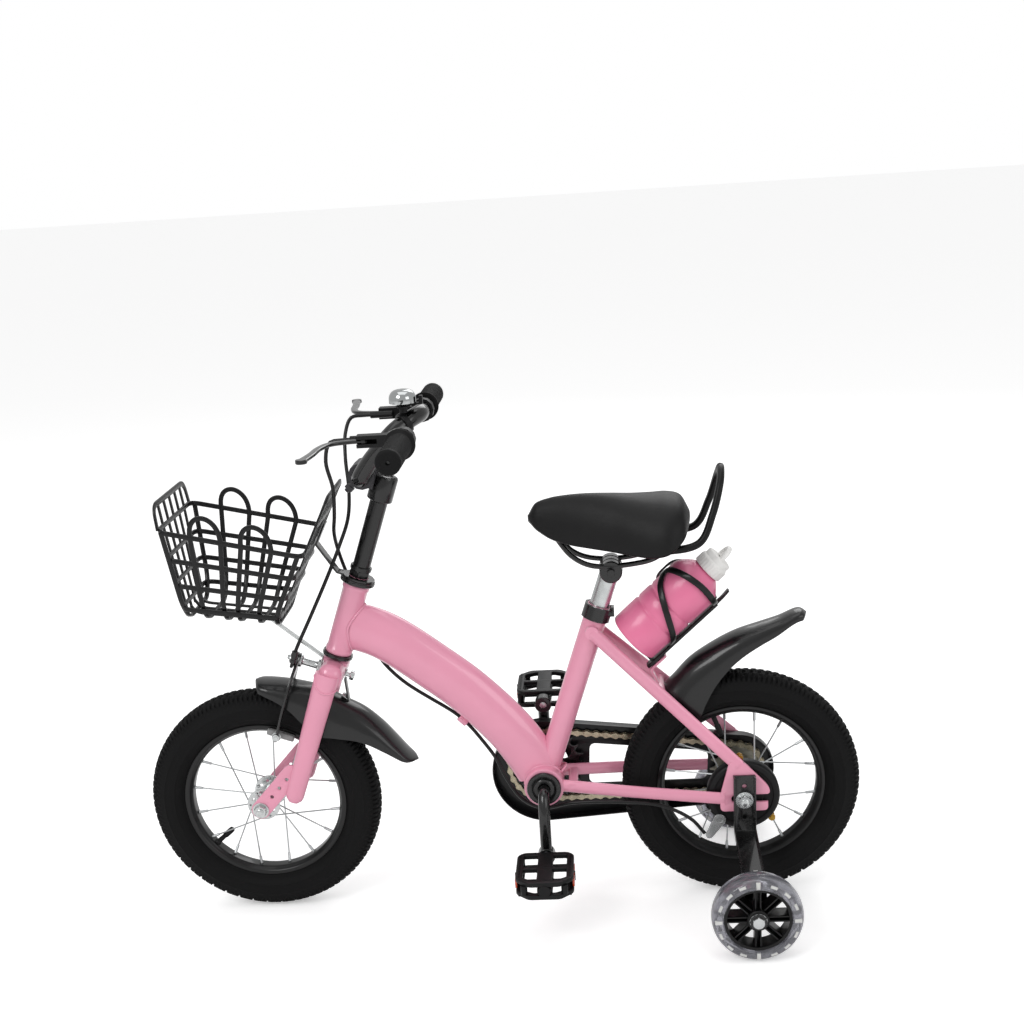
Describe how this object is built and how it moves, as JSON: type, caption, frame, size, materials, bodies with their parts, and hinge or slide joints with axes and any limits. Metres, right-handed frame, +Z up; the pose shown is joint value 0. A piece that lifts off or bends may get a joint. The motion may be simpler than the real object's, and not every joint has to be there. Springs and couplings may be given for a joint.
{
  "type": "kids bike with training wheels",
  "caption": "Small pink child's bicycle with front basket, black fenders, chain guard, drink bottle and a pair of bolt-on training wheels.",
  "frame": {"origin": "on the ground, midway between the two wheel axles in the bike's middle plane", "axes": "+X towards the back of the bike, +Y to the rider's right (the chain side), +Z up"},
  "size_m": [0.9248, 0.4726, 0.6713],
  "materials": {
    "pink_paint": "gloss",
    "black_paint": "gloss",
    "black_plastic": "satin",
    "grey_alloy": "satin",
    "bright_steel": "bright",
    "tyre_rubber": "matte",
    "grip_rubber": "matte",
    "clear_tyre": "translucent",
    "chain_steel": "oiled",
    "freewheel_steel": "oiled",
    "saddle_skin": "soft satin",
    "pink_plastic": "gloss",
    "white_plastic": "gloss",
    "cable_skin": "satin"
  },
  "bodies": {
    "frame": {"frame_front": "pink_paint", "frame_rear": "pink_paint", "headset_lower": "black_paint", "headset_upper": "black_paint", "bottom_bracket": "black_paint", "seat_clamp": "black_paint", "chain_guard": "black_plastic", "rear_fender": "black_plastic", "rear_axle": "bright_steel", "brake_cover": "black_plastic", "bottle_cage": "black_plastic", "training_bracket_left": "black_plastic", "training_bracket_right": "black_plastic", "rear_cable": "cable_skin", "chain": "chain_steel"},
    "steering": {"fork": "pink_paint", "stem": "black_plastic", "stem_clamp": "grey_alloy", "handlebar": "black_paint", "grip_left": "grip_rubber", "grip_right": "grip_rubber", "lever_body_left": "black_plastic", "lever_body_right": "black_plastic", "bell": "bright_steel", "front_fender": "black_plastic", "caliper_bolt": "bright_steel", "basket": "black_plastic", "basket_strap": "bright_steel", "basket_stay": "bright_steel", "front_axle": "bright_steel", "front_cable": "cable_skin"},
    "front_wheel": {"front_tire": "tyre_rubber", "front_rim": "black_plastic", "front_hub": "bright_steel"},
    "rear_wheel": {"rear_tire": "tyre_rubber", "rear_rim": "black_plastic", "rear_hub": "bright_steel"},
    "sprocket": {"freewheel": "freewheel_steel"},
    "cranks": {"crank": "black_paint", "chainring": "black_plastic"},
    "left_pedal": {"pedal_left": "black_plastic"},
    "right_pedal": {"pedal_right": "black_plastic"},
    "left_lever": {"brake_lever_left": "black_paint"},
    "right_lever": {"brake_lever_right": "black_paint"},
    "left_caliper": {"caliper_arm_left": "black_paint"},
    "right_caliper": {"caliper_arm_right": "black_paint"},
    "rear_brake": {"brake_arm": "bright_steel"},
    "striker": {"bell_striker": "black_plastic"},
    "left_training_wheel": {"training_hub_left": "black_plastic", "training_tire_left": "clear_tyre"},
    "right_training_wheel": {"training_hub_right": "black_plastic", "training_tire_right": "clear_tyre"},
    "seat": {"seat_post": "bright_steel", "saddle_clamp": "bright_steel", "saddle_base": "black_plastic", "saddle_pad": "saddle_skin"},
    "drink_bottle": {"bottle": "pink_plastic"},
    "bottle_top": {"bottle_cap": "white_plastic"}
  },
  "joints": [
    {"name": "steer", "type": "hinge", "parent": "frame", "child": "steering", "pos_m": [-0.19823, 0, 0.34497], "axis": [0.342, 0, 0.9397], "range_deg": [-45, 45], "deforming": ["rear_cable"]},
    {"name": "front_wheel_turn", "type": "hinge", "parent": "steering", "child": "front_wheel", "pos_m": [-0.31149, 0, 0.1525], "axis": [0, 1, 0], "continuous": true},
    {"name": "rear_wheel_turn", "type": "hinge", "parent": "frame", "child": "rear_wheel", "pos_m": [0.31149, 0, 0.1525], "axis": [0, 1, 0], "continuous": true},
    {"name": "crank_turn", "type": "hinge", "parent": "frame", "child": "cranks", "pos_m": [0.05836, 0, 0.166], "axis": [0, 1, 0], "continuous": true, "deforming": ["chain"]},
    {"name": "freewheel_turn", "type": "hinge", "parent": "frame", "child": "sprocket", "pos_m": [0.31149, 0, 0.1525], "axis": [0, 1, 0], "continuous": true, "deforming": ["chain"]},
    {"name": "left_pedal_turn", "type": "hinge", "parent": "cranks", "child": "left_pedal", "pos_m": [0.05836, -0.064, 0.086], "axis": [0, 1, 0], "continuous": true},
    {"name": "right_pedal_turn", "type": "hinge", "parent": "cranks", "child": "right_pedal", "pos_m": [0.05836, 0.064, 0.246], "axis": [0, 1, 0], "continuous": true},
    {"name": "left_lever_pull", "type": "hinge", "parent": "steering", "child": "left_lever", "pos_m": [-0.12151, -0.096, 0.63673], "axis": [0, 0, 1], "range_deg": [0, 22], "stiffness_Nm_per_rad": 0.9, "springref_deg": -14.32, "deforming": ["rear_cable"]},
    {"name": "right_lever_pull", "type": "hinge", "parent": "steering", "child": "right_lever", "pos_m": [-0.12151, 0.096, 0.63673], "axis": [0, 0, -1], "range_deg": [0, 22], "stiffness_Nm_per_rad": 0.9, "springref_deg": -14.32, "deforming": ["front_cable"]},
    {"name": "right_caliper_close", "type": "hinge", "parent": "steering", "child": "right_caliper", "pos_m": [-0.24607, 0, 0.34216], "axis": [-0.9397, 0, 0.342], "range_deg": [0, 0.66], "deforming": ["front_cable"]},
    {"name": "left_caliper_close", "type": "hinge", "parent": "steering", "child": "left_caliper", "pos_m": [-0.24607, 0, 0.34216], "axis": [0.9397, 0, -0.342], "range_deg": [0, 0.66], "deforming": ["front_cable"]},
    {"name": "rear_brake_pull", "type": "hinge", "parent": "frame", "child": "rear_brake", "pos_m": [0.28049, -0.0503, 0.1215], "axis": [0, 1, 0], "range_deg": [0, 15], "deforming": ["rear_cable"]},
    {"name": "bell_striker_flick", "type": "hinge", "parent": "steering", "child": "striker", "pos_m": [-0.09354, 0.05712, 0.656], "axis": [0, 0, 1], "range_deg": [0, 20], "stiffness_Nm_per_rad": 0.02, "springref_deg": -22.92},
    {"name": "left_training_wheel_turn", "type": "hinge", "parent": "frame", "child": "left_training_wheel", "pos_m": [0.31449, -0.185, 0.0555], "axis": [0, 1, 0], "continuous": true},
    {"name": "right_training_wheel_turn", "type": "hinge", "parent": "frame", "child": "right_training_wheel", "pos_m": [0.31449, 0.185, 0.0555], "axis": [0, 1, 0], "continuous": true},
    {"name": "seat_height", "type": "slide", "parent": "frame", "child": "seat", "axis": [0.3289, 0, 0.9444], "range_m": [0, 0.03]},
    {"name": "bottle_lift", "type": "slide", "parent": "frame", "child": "drink_bottle", "axis": [0.7431, 0, 0.6691], "range_m": [0, 0.12]},
    {"name": "bottle_cap_turn", "type": "hinge", "parent": "drink_bottle", "child": "bottle_top", "pos_m": [0.17986, 0, 0.3525], "axis": [0.7431, 0, 0.6691], "continuous": true}
  ],
  "couplings": [
    {"joint": "freewheel_turn", "follows": "crank_turn", "ratio": 1.5},
    {"joint": "right_caliper_close", "follows": "right_lever_pull", "ratio": 0.03},
    {"joint": "left_caliper_close", "follows": "right_lever_pull", "ratio": 0.03},
    {"joint": "rear_brake_pull", "follows": "left_lever_pull", "ratio": 0.6}
  ]
}
